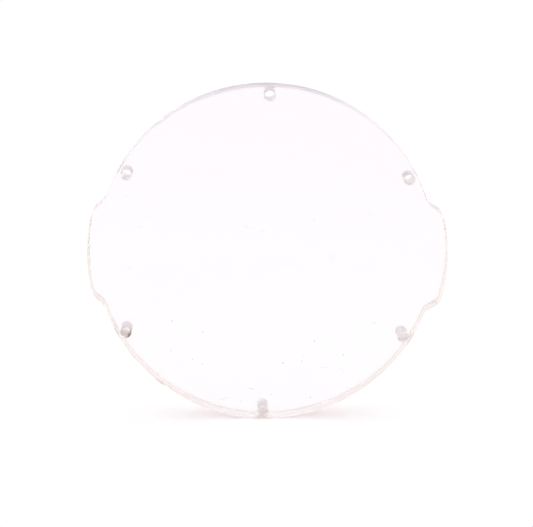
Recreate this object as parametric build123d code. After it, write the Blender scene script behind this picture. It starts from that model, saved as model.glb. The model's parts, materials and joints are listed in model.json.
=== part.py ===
from build123d import *
import math
import os
from dataclasses import dataclass

# A clear acrylic cover plate, machined from one thick sheet: a round disc with a shallow ear on each
# side and six screw holes near its rim. It stands on its rim: X runs across it, Y through its thickness
# with the front face towards -Y, and Z up. The origin is the centre of the bolt circle, halfway through
# the thickness. Lengths are in millimetres and angles in degrees.

# The disc.
DISC_RADIUS = 52.75
THICKNESS = 10.0
RIM_BEVEL = 0.3  # the edge break all round both faces

# The screw holes, which clear an M3 screw.
HOLE_COUNT = 6
HOLE_RADIUS = 1.6
HOLE_BEVEL = 0.15  # takes the burr off both mouths of each hole
BOLT_CIRCLE_RADIUS = 50.0
FIRST_HOLE_ANGLE = 90.0  # anticlockwise from +X as seen from the front, so one hole is at the top


@dataclass(frozen=True)
class Ear:
    """A shallow swelling of the rim, centred on the X axis."""

    side: int  # 1 on the +X side, -1 on the -X side
    height: float  # from the disc's circle to the middle of the crown
    root_half_angle: float  # from the X axis to where a flank leaves the disc's circle
    flank_angle: float  # between a flank and the disc's tangent at its root
    crown_radius: float  # of the arc along the top of the ear
    blend_radius: float  # rounds the root and the tip of each flank


# The two ears differ a little: the right one is taller, and the left one is flatter and softer.
RIGHT_EAR = Ear(
    side=1,
    height=3.7,
    root_half_angle=18.7,
    flank_angle=40.0,
    crown_radius=DISC_RADIUS,
    blend_radius=4.0,
)
LEFT_EAR = Ear(
    side=-1,
    height=2.5,
    root_half_angle=18.1,
    flank_angle=33.0,
    crown_radius=77.0,
    blend_radius=6.5,
)


def flank_root(ear):
    """The point of the disc's circle where the upper flank starts, drawn on the +X side."""
    angle = math.radians(ear.root_half_angle)
    return Vector(DISC_RADIUS * math.cos(angle), DISC_RADIUS * math.sin(angle))


def flank_tip(ear):
    """The point where the upper flank meets the crown's arc, before that corner is rounded."""
    root = flank_root(ear)
    bearing = math.radians(ear.root_half_angle - 90.0 + ear.flank_angle)
    direction = Vector(math.cos(bearing), math.sin(bearing))
    crown_centre = Vector(DISC_RADIUS + ear.height - ear.crown_radius, 0)
    from_centre = root - crown_centre
    along = from_centre.dot(direction)
    aside_squared = from_centre.dot(from_centre) - along**2
    return root + direction * (math.sqrt(ear.crown_radius**2 - aside_squared) - along)


def ear_face(ear):
    """The ear with sharp corners, closed by a chord inside the disc."""
    root = flank_root(ear)
    tip = flank_tip(ear)
    lower_root = Vector(root.X, -root.Y)
    lower_tip = Vector(tip.X, -tip.Y)
    crown_middle = Vector(DISC_RADIUS + ear.height, 0)
    edges = [
        Line(root, tip),
        ThreePointArc(tip, crown_middle, lower_tip),
        Line(lower_tip, lower_root),
        Line(lower_root, root),
    ]
    face = make_face(edges)
    return face if ear.side > 0 else mirror(face, about=Plane.YZ)


def plate_outline():
    """The disc with both ears, each flank blended into the disc and into the crown."""
    outline = Circle(DISC_RADIUS) + ear_face(RIGHT_EAR) + ear_face(LEFT_EAR)
    for ear in (RIGHT_EAR, LEFT_EAR):
        corners = outline.vertices().filter_by(lambda corner: corner.X * ear.side > 0)
        outline = fillet(corners, ear.blend_radius)
    return outline


def drill():
    """The space one screw hole takes up: a cylinder with a small cone at each mouth."""
    bore = Cylinder(HOLE_RADIUS, THICKNESS)
    cone = Cone(HOLE_RADIUS, HOLE_RADIUS + 2 * HOLE_BEVEL, 2 * HOLE_BEVEL)
    front_cone = Pos(0, 0, THICKNESS / 2) * cone
    return bore + front_cone + mirror(front_cone, about=Plane.XY)


def clear_plate():
    """The whole plate: the outline made solid, its rim bevelled on both faces, and its holes drilled."""
    plate = extrude(Plane.XZ * plate_outline(), THICKNESS / 2, both=True)
    front_face = plate.faces().sort_by(Axis.Y)[0]
    back_face = plate.faces().sort_by(Axis.Y)[-1]
    plate = chamfer(front_face.edges() + back_face.edges(), RIM_BEVEL)
    for place in PolarLocations(BOLT_CIRCLE_RADIUS, HOLE_COUNT, start_angle=FIRST_HOLE_ANGLE):
        plate -= Plane.XZ * place * drill()
    return plate


os.makedirs("parts", exist_ok=True)
export_step(clear_plate(), "parts/clear_plate.step")
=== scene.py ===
import json
import math
from collections import namedtuple

import bmesh
import bpy
from mathutils import Matrix, Vector, geometry, noise


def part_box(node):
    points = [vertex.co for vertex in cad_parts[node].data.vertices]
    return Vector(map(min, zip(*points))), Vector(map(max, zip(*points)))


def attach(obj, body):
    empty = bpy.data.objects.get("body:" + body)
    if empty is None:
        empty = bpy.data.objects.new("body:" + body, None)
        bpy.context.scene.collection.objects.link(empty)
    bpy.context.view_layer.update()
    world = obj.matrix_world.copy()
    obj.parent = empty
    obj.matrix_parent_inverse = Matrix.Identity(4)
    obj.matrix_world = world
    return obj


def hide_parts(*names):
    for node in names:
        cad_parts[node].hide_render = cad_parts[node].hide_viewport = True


# A thick clear acrylic cover plate, standing on its rim on a white sweep under soft light.
# Metres throughout, in the part's own frame: X runs across the plate, Y through it with the
# front face towards -Y, and Z up. The origin is the centre of the bolt circle.

MM = 0.001

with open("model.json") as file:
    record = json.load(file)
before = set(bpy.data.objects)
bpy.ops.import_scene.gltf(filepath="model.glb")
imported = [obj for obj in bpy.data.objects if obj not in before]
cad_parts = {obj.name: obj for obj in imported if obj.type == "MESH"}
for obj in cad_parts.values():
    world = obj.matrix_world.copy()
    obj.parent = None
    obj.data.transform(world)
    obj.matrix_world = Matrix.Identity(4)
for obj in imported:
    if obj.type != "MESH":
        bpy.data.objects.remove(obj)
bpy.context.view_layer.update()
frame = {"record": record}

# ------------------------------------------------------------------------------------------
# Sizes of the plate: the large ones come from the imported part
# ------------------------------------------------------------------------------------------

LOW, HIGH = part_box("clear_plate")
DISC_RADIUS = (HIGH.z - LOW.z) / 2
HALF_THICKNESS = (HIGH.y - LOW.y) / 2
HOLE_PATTERN = next(m["dims"] for m in frame["record"]["mounts"] if m["name"] == "screw_holes")
HOLE_COUNT = HOLE_PATTERN["count"]
HOLE_RADIUS = HOLE_PATTERN["hole_r_mm"] * MM
BOLT_CIRCLE_RADIUS = HOLE_PATTERN["pcd_mm"] / 2 * MM
RIM_BEVEL = 0.3 * MM
HOLE_BEVEL = 0.15 * MM

Ear = namedtuple("Ear", "height root_half_angle flank_angle crown_radius blend_radius")
RIGHT_EAR = Ear(HIGH.x - DISC_RADIUS, math.radians(18.7), math.radians(40), 52.75 * MM, 4 * MM)
LEFT_EAR = Ear(-LOW.x - DISC_RADIUS, math.radians(18.1), math.radians(33), 77 * MM, 6.5 * MM)

# How finely the mesh follows the curves.
EDGE_STEP = 0.45 * MM
BLEND_STEP = 0.25 * MM
HOLE_SIDES = 72
WALL_BANDS = 6
FACE_PITCH = 4 * MM
SHARP_ANGLE = math.radians(25)

# ------------------------------------------------------------------------------------------
# The outline, in the plane of the plate
# ------------------------------------------------------------------------------------------


def arc(centre, start, end, step):
    """Points round centre from start to end the short way, both ends included."""
    first = start - centre
    last = end - centre
    turn = math.atan2(first.cross(last), first.dot(last))
    count = max(1, math.ceil(abs(turn) * first.length / step))
    return [centre + Matrix.Rotation(turn * i / count, 2) @ first for i in range(count + 1)]


def meeting_point(start, direction, centre, radius):
    """The point on a line, nearest its start, that lies radius away from centre."""
    offset = start - centre
    along = offset.dot(direction)
    reach = math.sqrt(along**2 - offset.length_squared + radius**2)
    return start + direction * min(reach - along, -reach - along, key=abs)


def ear_edge(ear):
    """The upper half of an ear on the +X side, from the middle of its crown to the disc."""
    root = Matrix.Rotation(ear.root_half_angle, 2) @ Vector((DISC_RADIUS, 0))
    bearing = ear.root_half_angle - math.pi / 2 + ear.flank_angle
    along = Vector((math.cos(bearing), math.sin(bearing)))
    outward = Vector((-along.y, along.x)) * ear.blend_radius
    disc_centre = Vector((0, 0))
    crown_middle = Vector((DISC_RADIUS + ear.height, 0))
    crown_centre = crown_middle - Vector((ear.crown_radius, 0))
    tip_centre = meeting_point(
        root - outward, along, crown_centre, ear.crown_radius - ear.blend_radius
    )
    root_centre = meeting_point(root + outward, along, disc_centre, DISC_RADIUS + ear.blend_radius)
    crown_end = crown_centre + (tip_centre - crown_centre).normalized() * ear.crown_radius
    disc_end = root_centre.normalized() * DISC_RADIUS
    crown = arc(crown_centre, crown_middle, crown_end, EDGE_STEP)
    tip = arc(tip_centre, crown_end, tip_centre + outward, BLEND_STEP)
    root_blend = arc(root_centre, root_centre - outward, disc_end, BLEND_STEP)
    return crown + tip[1:] + root_blend


def plate_edge():
    """The whole outline, anticlockwise as seen from the front, from the right ear's crown."""
    right = ear_edge(RIGHT_EAR)
    left = [Vector((-p.x, p.y)) for p in ear_edge(LEFT_EAR)]
    top = arc(Vector((0, 0)), right[-1], left[-1], EDGE_STEP)
    upper = right + top[1:-1] + left[::-1]
    lower = [Vector((p.x, -p.y)) for p in upper[-2:0:-1]]
    return upper + lower


def outward_normals(points):
    """The unit normal at each point of a closed anticlockwise outline."""
    normals = []
    for i in range(len(points)):
        ahead = points[(i + 1) % len(points)] - points[i - 1]
        normals.append(Vector((ahead.y, -ahead.x)).normalized())
    return normals


def hole_centres():
    """The bolt circle's centres, the first at the top."""
    top = Vector((0, BOLT_CIRCLE_RADIUS))
    return [Matrix.Rotation(math.tau * i / HOLE_COUNT, 2) @ top for i in range(HOLE_COUNT)]


# ------------------------------------------------------------------------------------------
# The plate's mesh
# ------------------------------------------------------------------------------------------

# The kinds of surface besides the flat faces. The mesh has an attribute for each.
RIM, BEVEL, BORE = "rim", "bevel", "bore"

# Nicks along the front edge: angle anticlockwise from +X, half width and depth.
NICKS = (
    (math.radians(231.5), 0.7 * MM, 0.35 * MM),
    (math.radians(234.2), 1.1 * MM, 0.45 * MM),
    (math.radians(238.0), 0.5 * MM, 0.3 * MM),
    (math.radians(263.0), 0.5 * MM, 0.25 * MM),
    (math.radians(98.5), 0.6 * MM, 0.3 * MM),
)
BEVEL_WANDER = 0.3
BEVEL_WANDER_LENGTH = 7 * MM


def bevel_widths(points, side):
    """The hand-broken edge's width at each point: it wanders a little and is wider at a nick."""
    widths = []
    for point in points:
        place = Vector((point.x, point.y, side)) / BEVEL_WANDER_LENGTH
        width = RIM_BEVEL * (1 + BEVEL_WANDER * noise.noise(place))
        if side < 0:
            for angle, half_width, depth in NICKS:
                nick = Matrix.Rotation(angle, 2) @ Vector((DISC_RADIUS, 0))
                width += depth * math.exp(-(((point - nick).length / half_width) ** 2))
        widths.append(width)
    return widths


def add_loop(mesh, points, depths):
    """A closed loop of vertices, each point of the plane at its own depth along Y."""
    return [mesh.verts.new((p.x, y, p.y)) for p, y in zip(points, depths)]


def add_band(mesh, near, far, kind):
    """A closed band of quads between two loops."""
    layer = mesh.faces.layers.float[kind]
    for i in range(len(near)):
        quad = mesh.faces.new((near[i - 1], near[i], far[i], far[i - 1]))
        quad[layer] = 1.0


def between(near, far, share):
    return [a + (b - a) * share for a, b in zip(near, far)]


def add_wall(mesh, front_mouth, front_wall, back_wall, back_mouth, kind, bevel_kind):
    """A wall through the plate with a bevel at each end: each loop is (points, depths)."""
    mouth = add_loop(mesh, *front_mouth)
    previous = add_loop(mesh, *front_wall)
    add_band(mesh, mouth, previous, bevel_kind)
    for band in range(1, WALL_BANDS + 1):
        depths = between(front_wall[1], back_wall[1], band / WALL_BANDS)
        current = add_loop(mesh, front_wall[0], depths)
        add_band(mesh, previous, current, kind)
        previous = current
    back = add_loop(mesh, *back_mouth)
    add_band(mesh, previous, back, bevel_kind)
    return mouth, back


def add_rim(mesh, edge):
    """The outer wall. Returns the loops that border the front and back faces."""
    normals = outward_normals(edge)
    front = bevel_widths(edge, -1)
    back = bevel_widths(edge, 1)
    front_inset = [p - n * w for p, n, w in zip(edge, normals, front)]
    back_inset = [p - n * w for p, n, w in zip(edge, normals, back)]
    return add_wall(
        mesh,
        (front_inset, [-HALF_THICKNESS] * len(edge)),
        (edge, [w - HALF_THICKNESS for w in front]),
        (edge, [HALF_THICKNESS - w for w in back]),
        (back_inset, [HALF_THICKNESS] * len(edge)),
        RIM,
        BEVEL,
    )


def add_bore(mesh, centre):
    """One screw hole's wall. Returns its front and back mouths."""
    turns = [math.tau * i / HOLE_SIDES for i in range(HOLE_SIDES)]
    spokes = [Matrix.Rotation(turn, 2) @ Vector((1, 0)) for turn in turns]
    wall = [centre + spoke * HOLE_RADIUS for spoke in spokes]
    mouth = [centre + spoke * (HOLE_RADIUS + HOLE_BEVEL) for spoke in spokes]
    wall_depth = HALF_THICKNESS - HOLE_BEVEL
    return add_wall(
        mesh,
        (mouth, [-HALF_THICKNESS] * HOLE_SIDES),
        (wall, [-wall_depth] * HOLE_SIDES),
        (wall, [wall_depth] * HOLE_SIDES),
        (mouth, [HALF_THICKNESS] * HOLE_SIDES),
        BORE,
        BORE,
    )


def face_points():
    """Rings of points inside a face, clear of the rim and of the holes."""
    centres = hole_centres()
    clearance = HOLE_RADIUS + FACE_PITCH / 2
    points = []
    for ring in range(int((DISC_RADIUS - FACE_PITCH / 2) / FACE_PITCH) + 1):
        radius = ring * FACE_PITCH
        count = max(1, round(math.tau * radius / FACE_PITCH))
        for i in range(count):
            point = Matrix.Rotation(math.tau * i / count, 2) @ Vector((radius, 0))
            if all((point - centre).length > clearance for centre in centres):
                points.append(point)
    return points


def add_face(mesh, loops, y):
    """A flat face between its rim loop and the mouths of the holes."""
    verts = [v for loop in loops for v in loop]
    edges = []
    start = 0
    for loop in loops:
        count = len(loop)
        edges += [(start + i, start + (i + 1) % count) for i in range(count)]
        start += count
    verts += [mesh.verts.new((p.x, y, p.y)) for p in face_points()]
    plane = [Vector((v.co.x, v.co.z)) for v in verts]
    _, _, triangles, sources, _, _ = geometry.delaunay_2d_cdt(plane, edges, [], 1, 1e-7)
    centres = hole_centres()
    for triangle in triangles:
        corners = [verts[sources[i][0]] for i in triangle]
        middle = sum((Vector((v.co.x, v.co.z)) for v in corners), Vector((0, 0))) / 3
        if all((middle - centre).length > HOLE_RADIUS for centre in centres):
            mesh.faces.new(corners)


def finish_mesh(mesh, name):
    """Turns the bmesh into an object with outward normals, smooth but for its real edges."""
    bmesh.ops.recalc_face_normals(mesh, faces=mesh.faces)
    for face in mesh.faces:
        face.smooth = True
    for edge in mesh.edges:
        edge.smooth = edge.calc_face_angle(math.pi) < SHARP_ANGLE
    data = bpy.data.meshes.new(name)
    mesh.to_mesh(data)
    mesh.free()
    piece = bpy.data.objects.new(name, data)
    bpy.context.scene.collection.objects.link(piece)
    return piece


def make_plate():
    mesh = bmesh.new()
    for kind in (RIM, BEVEL, BORE):
        mesh.faces.layers.float.new(kind)
    rim_front, rim_back = add_rim(mesh, plate_edge())
    mouths = [add_bore(mesh, centre) for centre in hole_centres()]
    add_face(mesh, [rim_front] + [front for front, _ in mouths], -HALF_THICKNESS)
    add_face(mesh, [rim_back] + [back for _, back in mouths], HALF_THICKNESS)
    return finish_mesh(mesh, "plate")


# ------------------------------------------------------------------------------------------
# Materials
# ------------------------------------------------------------------------------------------

ACRYLIC_IOR = 1.49


class Nodes:
    """The node tree of a material or a world, with a short way to add a node and wire it up."""

    def __init__(self, owner):
        owner.use_nodes = True
        self.tree = owner.node_tree
        self.tree.nodes.clear()
        self.place = self.add("ShaderNodeTexCoord").outputs["Object"]

    def add(self, kind, inputs=None, **settings):
        """A node with these settings. An input is a value, or the socket that feeds it."""
        node = self.tree.nodes.new(kind)
        for key, value in settings.items():
            setattr(node, key, value)
        for key, value in (inputs or {}).items():
            if isinstance(value, bpy.types.NodeSocket):
                self.tree.links.new(value, node.inputs[key])
            else:
                node.inputs[key].default_value = value
        return node

    def math(self, operation, *values, clamp=False):
        settings = {"operation": operation, "use_clamp": clamp}
        return self.add("ShaderNodeMath", dict(enumerate(values)), **settings).outputs[0]

    def length(self, vector):
        node = self.add("ShaderNodeVectorMath", {0: vector}, operation="LENGTH")
        return node.outputs["Value"]

    def spread(self, value, low, high, to_low=0.0, to_high=1.0):
        """Maps low..high to to_low..to_high, smoothly and clamped."""
        inputs = {
            "Value": value,
            "From Min": low,
            "From Max": high,
            "To Min": to_low,
            "To Max": to_high,
        }
        return self.add("ShaderNodeMapRange", inputs, interpolation_type="SMOOTHSTEP").outputs[0]

    def scaled_place(self, x, y, z):
        """The object's coordinates with each axis stretched."""
        inputs = {"Vector": self.place, "Scale": (x, y, z)}
        return self.add("ShaderNodeMapping", inputs, vector_type="POINT").outputs[0]

    def noise(self, vector, scale=1.0):
        inputs = {"Vector": vector, "Scale": scale, "Detail": 3.0, "Roughness": 0.5}
        return self.add("ShaderNodeTexNoise", inputs).outputs["Fac"]

    def blend(self, share, first, second):
        """A colour between first and second."""
        node = self.add("ShaderNodeMix", data_type="RGBA")
        for index, value in ((0, share), (6, first), (7, second)):
            if isinstance(value, bpy.types.NodeSocket):
                self.tree.links.new(value, node.inputs[index])
            else:
                node.inputs[index].default_value = value
        return node.outputs[2]

    def mix(self, share, first, second):
        """A number between first and second."""
        inputs = {0: share, 2: first, 3: second}
        return self.add("ShaderNodeMix", inputs, data_type="FLOAT").outputs[0]

    def bump(self, height):
        """A normal for this height, which is in metres."""
        inputs = {"Height": height, "Distance": 1.0, "Strength": 1.0}
        return self.add("ShaderNodeBump", inputs).outputs[0]

    def kind(self, name):
        """One on the surfaces of this kind and nought elsewhere."""
        return self.add("ShaderNodeAttribute", attribute_name=name).outputs["Fac"]


# What light loses on its way through the acrylic: a faint lavender over a long way.
BODY_TINT = (0.64, 0.54, 0.66, 1)
BODY_DENSITY = 1.7

# Painted shade on the faces: they are tinted darker towards the top. Painted light on the rim:
# warm low down, lavender shade higher up, darker shade at the very top, and a golden cast at
# middle heights.
FACE_TINT_LOW = (0.965, 0.951, 0.96, 1)
FACE_TINT_AND_SHADE_HIGH = (0.937, 0.914, 0.936, 1)
# Painted light on the rim: warm low down, lavender shade higher up, darker shade at the very top.
RIM_PAINTED_WARMTH_LOW = (1, 0.96, 0.89, 1)
RIM_LAVENDER_SHADE_HIGH = (0.95, 0.88, 0.97, 1)
RIM_SHADE_TOP = (0.51, 0.51, 0.6, 1)
GOLD_TINT = (1, 0.88, 0.66, 1)
GOLD_SHARE = 0.55
BEVEL_TINTS = (1, 0.93, 0.85, 1), (1, 0.96, 0.92, 1)
# Painted lavender shade on the bevels higher up.
BEVEL_LAVENDER_SHADE_HIGH = (0.86, 0.8, 0.88, 1)
BORE_TINTS = (0.9, 0.875, 0.875, 1), (0.95, 0.93, 0.935, 1)
SMUDGE_TINT = (0.45, 0.44, 0.42, 1)
DUST_TINT = (0.35, 0.24, 0.26, 1)
DUST_SHARE = 0.3
# The brown of the residue in the bores, the stains on the rim and the painted reflections of the
# holes in the rim.
BROWN_MARK_TINT = (0.24, 0.12, 0.07, 1)

# Each kind of surface: roughness where it is smoothest and roughest, and how clear it is. The
# rim has two clearnesses, for its middle heights and for its bottom and top.
FACE_ROUGHNESS = (0.01, 0.03)
RIM_ROUGHNESS = (0.28, 0.3)
BEVEL_ROUGHNESS = (0.28, 0.31)
BORE_ROUGHNESS = (0.29, 0.36)
RIM_CLEARNESS = (0.93, 0.72)
BEVEL_CLEARNESS = 0.95
BORE_CLEARNESS = 0.3

# The heights on the plate between which each change of tint, painted shade or clearness takes
# place.
TO_LAVENDER_SHADE = (-0.2 * DISC_RADIUS, 0.4 * DISC_RADIUS)
TO_TOP_SHADE = (0.82 * DISC_RADIUS, DISC_RADIUS)
INTO_GOLD = (-DISC_RADIUS, -0.5 * DISC_RADIUS)
OUT_OF_GOLD = (0.05 * DISC_RADIUS, 0.4 * DISC_RADIUS)
TO_SCUFFED = (0.7 * DISC_RADIUS, 0.95 * DISC_RADIUS)
# The painted shade at the top has this share of its strength at the front edge.
TOP_SHADE_SHARE_AT_FRONT = 0.3

# How fine each texture is, in cycles per metre, either all round or along X, Y and Z.
SMEAR_SCALE = 120
WAVE_SCALE = 60
STREAK_SCALES = (15, 1, 90)
LINE_SCALES = (20, 3000, 20)
GRIT_SCALE = 1500
RING_SCALES = (400, 2500, 400)
RESIDUE_SCALES = (900, 500, 900)
FLOOR_SCALE = 8
# The values that nearly all of a noise texture lies between.
NOISE_SPAN = (0.3, 0.7)
# How far the streaks shift the faces' tint either way.
STREAK_SHIFT = 0.12

# Heights of the surface texture.
FACE_WAVE = 0.01 * MM
RIM_LINES = 0.0004 * MM
BEVEL_GRIT = 0.0008 * MM
BORE_RINGS = 0.0005 * MM

# Marks as seen from the front, in the plane of the plate, in millimetres and degrees. The share is
# how much of the surface a mark covers where it is strongest.
Mark = namedtuple("Mark", "x z half_length half_width turn share")
SMUDGES = (
    Mark(-5.3, 9.3, 3.4, 1.2, 12, 0.09),
    Mark(-1.2, 8.3, 2.0, 1.0, 10, 0.06),
    Mark(-38.6, 9.0, 2.4, 1.0, -12, 0.08),
    Mark(-42.0, -4.3, 1.6, 1.1, -10, 0.07),
    Mark(20.5, 0.5, 3.4, 3.8, 0, 0.03),
    Mark(6.3, -1.5, 5.0, 3.0, 0, 0.022),
    Mark(14.5, 12.0, 0.9, 0.8, 0, 0.05),
    Mark(31.8, 14.5, 1.2, 2.2, 0, 0.03),
    Mark(-43.2, 18.5, 1.8, 1.4, 0, 0.03),
    Mark(19.0, 41.0, 9.0, 6.0, -5, 0.018),
)
SCRATCHES = (
    Mark(-13.2, -46.5, 3.8, 0.2, -16, 0.2),
    Mark(24.5, -36.0, 3.0, 0.2, 48, 0.12),
    Mark(-3.6, -42.8, 1.6, 0.25, 8, 0.3),
    Mark(19.0, -35.5, 2.2, 0.2, -10, 0.1),
)
# Brown marks on the rim, most near nicks and holes: the ones near the nicks are stains, the ones
# near the holes are painted reflections of the holes in the rim, and a faint one runs along the
# left ear.
STAINS_AND_HOLE_REFLECTIONS = (
    Mark(-32.7, -41.3, 3.2, 0.9, 38, 0.6),
    Mark(-41.0, -33.1, 2.2, 0.8, 51, 0.4),
    Mark(45.2, -27.0, 2.2, 1.0, -59, 0.4),
    # Painted reflections of the bottom hole in the rim beneath it.
    Mark(-1.9, -52.7, 1.1, 0.9, 0, 0.3),
    Mark(1.6, -52.7, 1.1, 0.9, 0, 0.3),
    Mark(51.6, -17.2, 1.3, 0.8, -40, 0.6),
    Mark(-55.2, -1.0, 1.5, 15.0, 0, 0.3),
)
# How far back from the front face the stains and painted hole reflections reach.
STAIN_AND_REFLECTION_DEPTH = 3 * MM
# Residue in the lower holes: which hole, counted anticlockwise from the top, bearing from its
# centre, how far round it goes, share.
RESIDUES = (
    (2, math.radians(-30), 0.6, 1.0),
    (3, math.radians(-85), 0.3, 0.3),
    (4, math.radians(-30), 0.2, 0.3),
)
DUST_PITCH = 3.2 * MM
DUST_SIZE = 0.1
DUST_TOP = -12 * MM
# Only the cells whose random number is above this have a speck.
DUST_CHANCE = 0.6
# A mark is at full strength up to this share of its size, and gone at its edge.
MARK_CORE = 0.2
# Smudges are patchy: these values of the noise give this least share and the whole of them.
SMUDGE_SPAN = (0.3, 0.55)
SMUDGE_LEAST = 0.4
# Residue lies within RESIDUE_LIMIT hole radii of a hole's centre. The place along its bearing,
# plus a noise that averages a half, has to pass RESIDUE_START less its reach. It fades in over
# RESIDUE_EDGE.
RESIDUE_LIMIT = 1.5
RESIDUE_START = 1.5
RESIDUE_EDGE = 0.4


def front_marks(nodes, marks):
    """How much of each point of the front face these marks cover."""
    cover = 0.0
    for mark in marks:
        inputs = {
            "Vector": nodes.place,
            "Location": (mark.x * MM, 0, mark.z * MM),
            "Rotation": (0, math.radians(mark.turn), 0),
            "Scale": (mark.half_length * MM, 1, mark.half_width * MM),
        }
        local = nodes.add("ShaderNodeMapping", inputs, vector_type="TEXTURE").outputs[0]
        distance = nodes.length(local)
        share = nodes.spread(distance, 1.0, MARK_CORE, 0.0, mark.share)
        cover = nodes.math("MAXIMUM", cover, share)
    return cover


def dust(nodes, height):
    """Specks on the lower part of the face, where it has been handled."""
    inputs = {"Vector": nodes.place, "Scale": 1 / DUST_PITCH}
    cells = nodes.add("ShaderNodeTexVoronoi", inputs)
    chance = nodes.add("ShaderNodeSeparateXYZ", {0: cells.outputs["Color"]}).outputs["X"]
    kept = nodes.math("GREATER_THAN", chance, DUST_CHANCE)
    size = nodes.math("MULTIPLY", chance, DUST_SIZE)
    speck = nodes.math("LESS_THAN", cells.outputs["Distance"], size)
    low = nodes.spread(height, DUST_TOP, 2 * DUST_TOP)
    kept = nodes.math("MULTIPLY", kept, DUST_SHARE)
    return nodes.math("MULTIPLY", nodes.math("MULTIPLY", speck, kept), low)


def bore_residue(nodes, hole, bearing, reach):
    """Dried brown residue on one side of a hole's wall, about the bearing from its centre."""
    centre = hole_centres()[hole]
    spoke = Matrix.Rotation(bearing, 2) @ Vector((1, 0))
    inputs = {0: nodes.place, 1: (centre.x, 0, centre.y)}
    offset = nodes.add("ShaderNodeVectorMath", inputs, operation="SUBTRACT").outputs[0]
    inputs = {0: offset, 1: (spoke.x / HOLE_RADIUS, 0, spoke.y / HOLE_RADIUS)}
    side = nodes.add("ShaderNodeVectorMath", inputs, operation="DOT_PRODUCT").outputs["Value"]
    inputs = {0: offset, 1: (1 / HOLE_RADIUS, 0, 1 / HOLE_RADIUS)}
    flat = nodes.add("ShaderNodeVectorMath", inputs, operation="MULTIPLY").outputs[0]
    here = nodes.math("LESS_THAN", nodes.length(flat), RESIDUE_LIMIT)
    ragged = nodes.math("ADD", side, nodes.noise(nodes.scaled_place(*RESIDUE_SCALES)))
    start = RESIDUE_START - reach
    return nodes.math("MULTIPLY", here, nodes.spread(ragged, start, start + RESIDUE_EDGE))


Skin = namedtuple("Skin", "rim bevel bore where wander lines grit rings")


def read_skin(nodes):
    """The kinds of surface, the place on the plate, and the textures that lie over it."""
    return Skin(
        nodes.kind(RIM),
        nodes.kind(BEVEL),
        nodes.kind(BORE),
        nodes.add("ShaderNodeSeparateXYZ", {0: nodes.place}).outputs,
        nodes.noise(nodes.place, SMEAR_SCALE),
        nodes.noise(nodes.scaled_place(*LINE_SCALES)),
        nodes.noise(nodes.place, GRIT_SCALE),
        nodes.noise(nodes.scaled_place(*RING_SCALES)),
    )


def face_dirt(nodes, skin):
    """The smudges, and the specks and scratches, of the front face."""
    edges = nodes.math("ADD", nodes.math("ADD", skin.rim, skin.bevel), skin.bore)
    front = nodes.math("LESS_THAN", skin.where["Y"], -0.9 * HALF_THICKNESS)
    front = nodes.math("MULTIPLY", front, nodes.math("SUBTRACT", 1.0, edges))
    patchy = nodes.spread(skin.wander, *SMUDGE_SPAN, SMUDGE_LEAST)
    smears = nodes.math("MULTIPLY", front_marks(nodes, SMUDGES), patchy)
    smears = nodes.math("MULTIPLY", smears, front)
    specks = nodes.math("MAXIMUM", dust(nodes, skin.where["Z"]), front_marks(nodes, SCRATCHES))
    return smears, nodes.math("MULTIPLY", specks, front)


def brown_dirt_and_reflections(nodes, skin):
    """The residue in the bores, and the stains and painted reflections of the holes on the rim and
    its bevels, all near the front.
    """
    residue = 0.0
    for hole, bearing, reach, share in RESIDUES:
        patch = nodes.math("MULTIPLY", bore_residue(nodes, hole, bearing, reach), share)
        residue = nodes.math("MAXIMUM", residue, patch)
    residue = nodes.math("MULTIPLY", residue, skin.bore)
    front_half = nodes.spread(skin.where["Y"], -HALF_THICKNESS, 0.5 * HALF_THICKNESS, 1.0, 0.0)
    residue = nodes.math("MULTIPLY", residue, front_half)
    # Brown stains and painted reflections of the holes on the rim and its bevels.
    stains_and_reflections = front_marks(nodes, STAINS_AND_HOLE_REFLECTIONS)
    stains_and_reflections = nodes.math("MULTIPLY", stains_and_reflections, nodes.math("ADD", skin.rim, skin.bevel))
    stain_and_reflection_end = STAIN_AND_REFLECTION_DEPTH - HALF_THICKNESS
    near_front = nodes.spread(skin.where["Y"], -HALF_THICKNESS, stain_and_reflection_end, 1.0, 0.0)
    return nodes.math("MAXIMUM", residue, nodes.math("MULTIPLY", stains_and_reflections, near_front))


def face_colour(nodes, skin, smears, specks):
    # Painted shade: the faces' tint darkens towards the top, shifted by random streaks.
    upward_shade = nodes.spread(skin.where["Z"], -DISC_RADIUS, DISC_RADIUS)
    streaks = nodes.noise(nodes.scaled_place(*STREAK_SCALES))
    streaks = nodes.spread(streaks, *NOISE_SPAN, -STREAK_SHIFT, STREAK_SHIFT)
    colour = nodes.blend(nodes.math("ADD", upward_shade, streaks), FACE_TINT_LOW, FACE_TINT_AND_SHADE_HIGH)
    colour = nodes.blend(smears, colour, SMUDGE_TINT)
    return nodes.blend(specks, colour, DUST_TINT)


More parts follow.
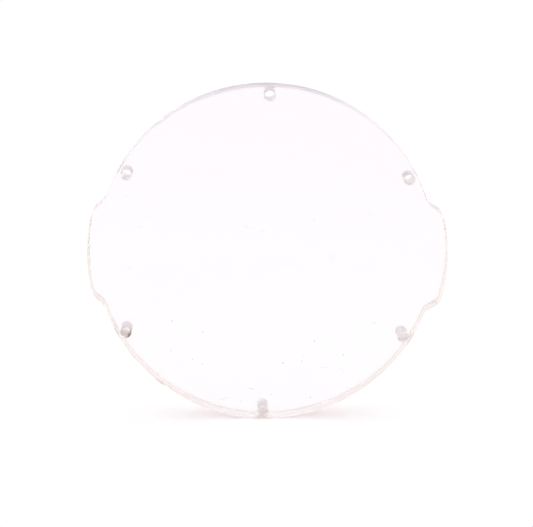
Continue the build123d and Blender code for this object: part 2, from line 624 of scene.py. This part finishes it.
def skin_colour(nodes, skin, smears, specks, brown):
    height = skin.where["Z"]
    # Painted light by height on the rim and bevels: warm low down, lavender shade higher up and
    # darker shade at the top, weaker at the front edge.
    lavender_shade = nodes.spread(height, *TO_LAVENDER_SHADE)
    top_shade = nodes.spread(height, *TO_TOP_SHADE)
    inwards = nodes.spread(
        skin.where["Y"], -HALF_THICKNESS, HALF_THICKNESS, TOP_SHADE_SHARE_AT_FRONT, 1.0
    )
    rim_colour = nodes.blend(lavender_shade, RIM_PAINTED_WARMTH_LOW, RIM_LAVENDER_SHADE_HIGH)
    rim_colour = nodes.blend(nodes.math("MULTIPLY", top_shade, inwards), rim_colour, RIM_SHADE_TOP)
    bevel_colour = nodes.blend(lavender_shade, nodes.blend(skin.grit, *BEVEL_TINTS), BEVEL_LAVENDER_SHADE_HIGH)
    colour = nodes.blend(skin.rim, face_colour(nodes, skin, smears, specks), rim_colour)
    colour = nodes.blend(skin.bevel, colour, bevel_colour)
    golden = nodes.spread(height, *INTO_GOLD)
    not_high = nodes.spread(height, *OUT_OF_GOLD, GOLD_SHARE, 0.0)
    golden = nodes.math("MULTIPLY", golden, not_high)
    golden = nodes.math("MULTIPLY", golden, nodes.math("ADD", skin.rim, skin.bevel))
    colour = nodes.blend(golden, colour, GOLD_TINT)
    colour = nodes.blend(skin.bore, colour, nodes.blend(skin.rings, *BORE_TINTS))
    # Brown residue in the bores, stains on the rim, and painted reflections of the holes in the
    # rim.
    return nodes.blend(brown, colour, BROWN_MARK_TINT)


def skin_roughness(nodes, skin, smears):
    roughness = nodes.spread(skin.wander, *NOISE_SPAN, *FACE_ROUGHNESS)
    roughness = nodes.math("ADD", roughness, smears)
    on_rim = nodes.spread(skin.lines, *NOISE_SPAN, *RIM_ROUGHNESS)
    roughness = nodes.mix(skin.rim, roughness, on_rim)
    on_bevel = nodes.spread(skin.grit, *NOISE_SPAN, *BEVEL_ROUGHNESS)
    roughness = nodes.mix(skin.bevel, roughness, on_bevel)
    on_bore = nodes.spread(skin.rings, *NOISE_SPAN, *BORE_ROUGHNESS)
    return nodes.mix(skin.bore, roughness, on_bore)


def skin_clearness(nodes, skin, dirt_and_reflections):
    """How much of the light passes through rather than being scattered back."""
    from_middle = nodes.math("ABSOLUTE", skin.where["Z"])
    rim_clearness = nodes.spread(from_middle, *TO_SCUFFED, *RIM_CLEARNESS)
    clearness = nodes.mix(skin.rim, 1.0, rim_clearness)
    clearness = nodes.mix(skin.bevel, clearness, BEVEL_CLEARNESS)
    clearness = nodes.mix(skin.bore, clearness, BORE_CLEARNESS)
    return nodes.math("SUBTRACT", clearness, dirt_and_reflections, clamp=True)


def skin_relief(nodes, skin):
    """The height of the surface texture."""
    waves = nodes.noise(nodes.place, WAVE_SCALE)
    relief = nodes.math("MULTIPLY", waves, FACE_WAVE)
    relief = nodes.mix(skin.rim, relief, nodes.math("MULTIPLY", skin.lines, RIM_LINES))
    relief = nodes.mix(skin.bevel, relief, nodes.math("MULTIPLY", skin.grit, BEVEL_GRIT))
    return nodes.mix(skin.bore, relief, nodes.math("MULTIPLY", skin.rings, BORE_RINGS))


def clear_acrylic():
    """One material for the whole plate, since its volume has to be the same all over."""
    material = bpy.data.materials.new("clear_acrylic")
    nodes = Nodes(material)
    skin = read_skin(nodes)
    smears, specks = face_dirt(nodes, skin)
    brown = brown_dirt_and_reflections(nodes, skin)
    dirt_and_reflections = nodes.math("ADD", nodes.math("ADD", smears, specks), brown)
    inputs = {
        "Base Color": skin_colour(nodes, skin, smears, specks, brown),
        "Roughness": skin_roughness(nodes, skin, smears),
        "IOR": ACRYLIC_IOR,
        "Transmission Weight": skin_clearness(nodes, skin, dirt_and_reflections),
        "Normal": nodes.bump(skin_relief(nodes, skin)),
    }
    shader = nodes.add("ShaderNodeBsdfPrincipled", inputs)
    inputs = {"Color": BODY_TINT, "Density": BODY_DENSITY}
    inside = nodes.add("ShaderNodeVolumeAbsorption", inputs)
    inputs = {"Surface": shader.outputs[0], "Volume": inside.outputs[0]}
    nodes.add("ShaderNodeOutputMaterial", inputs)
    return material


# ------------------------------------------------------------------------------------------
# Stage, light and camera
# ------------------------------------------------------------------------------------------

# The plate stands a little rolled on its rim, so the floor and the camera are turned with it.
ROLL = math.radians(1.23)
FLOOR_SIZE = 60.0
FLOOR_TINTS = (0.925, 0.925, 0.925, 1), (0.935, 0.935, 0.935, 1)
# The light's colour changes with the height of its direction, which is 0 level and 1 straight up.
HORIZON_LIGHT = (1.02, 1.01, 1.01, 1)
WARM_LIGHT = (0.98, 0.895, 0.88, 1)
WARM_RISE = (0.03, 0.13)
OVERHEAD_LIGHT = (1.206, 1.225, 1.24, 1)
OVERHEAD_RISE = (0.2, 0.8)

CAMERA_ACROSS = -0.1235 * DISC_RADIUS
CAMERA_BACK = 9.256 * DISC_RADIUS + HALF_THICKNESS
CAMERA_UP = 2.296 * DISC_RADIUS
CAMERA_PAN = math.radians(0.775)
CAMERA_TILT = math.radians(14.158)
LENS = 110.0
SENSOR = 36.0
NEAREST_SEEN = 0.01
FARTHEST_SEEN = 100.0
# Light is trapped in the plate for a long way, so it is followed through many bounces.
BOUNCES = 48
DIFFUSE_BOUNCES = 24


def make_floor():
    turn = Matrix.Rotation(-ROLL, 3, "Y")
    mesh = bmesh.new()
    centre = turn @ Vector((0, 0, -DISC_RADIUS))
    half = FLOOR_SIZE / 2
    corners = [(-half, -half), (half, -half), (half, half), (-half, half)]
    mesh.faces.new([mesh.verts.new(centre + turn @ Vector((x, y, 0))) for x, y in corners])
    data = bpy.data.meshes.new("floor")
    mesh.to_mesh(data)
    mesh.free()
    floor = bpy.data.objects.new("floor", data)
    bpy.context.scene.collection.objects.link(floor)
    material = bpy.data.materials.new("white_sweep")
    nodes = Nodes(material)
    colour = nodes.blend(nodes.noise(nodes.place, FLOOR_SCALE), *FLOOR_TINTS)
    shader = nodes.add("ShaderNodeBsdfDiffuse", {"Color": colour})
    nodes.add("ShaderNodeOutputMaterial", {"Surface": shader.outputs[0]})
    data.materials.append(material)


def make_world():
    """An all-round soft light: pale at the horizon, warm above it and strongest overhead."""
    world = bpy.data.worlds.new("soft_white")
    nodes = Nodes(world)
    direction = nodes.add("ShaderNodeTexCoord").outputs["Generated"]
    rise = nodes.add("ShaderNodeSeparateXYZ", {0: direction}).outputs["Z"]
    light = nodes.blend(nodes.spread(rise, *WARM_RISE), HORIZON_LIGHT, WARM_LIGHT)
    light = nodes.blend(nodes.spread(rise, *OVERHEAD_RISE), light, OVERHEAD_LIGHT)
    background = nodes.add("ShaderNodeBackground", {"Color": light})
    nodes.add("ShaderNodeOutputWorld", {"Surface": background.outputs[0]})
    bpy.context.scene.world = world


def make_camera():
    data = bpy.data.cameras.new("camera")
    data.lens = LENS
    data.sensor_width = SENSOR
    data.clip_start = NEAREST_SEEN
    data.clip_end = FARTHEST_SEEN
    camera = bpy.data.objects.new("camera", data)
    bpy.context.scene.collection.objects.link(camera)
    turn = Matrix.Rotation(-ROLL, 4, "Y")
    place = Matrix.Translation((CAMERA_ACROSS, -CAMERA_BACK, CAMERA_UP))
    aim = Matrix.Rotation(-CAMERA_PAN, 4, "Z") @ Matrix.Rotation(math.pi / 2 - CAMERA_TILT, 4, "X")
    camera.matrix_world = turn @ place @ aim
    bpy.context.scene.camera = camera


plate = make_plate()
plate.data.materials.append(clear_acrylic())
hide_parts("clear_plate")
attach(plate, "root")

make_floor()
make_world()
make_camera()

scene = bpy.context.scene
scene.view_settings.view_transform = "Standard"
scene.cycles.blur_glossy = 0.0
# A denoiser that is also guided by normals keeps the grain of the frosted bores.
scene.cycles.denoising_input_passes = "RGB_ALBEDO"
scene.cycles.max_bounces = BOUNCES
scene.cycles.transmission_bounces = BOUNCES
scene.cycles.glossy_bounces = BOUNCES
scene.cycles.diffuse_bounces = DIFFUSE_BOUNCES
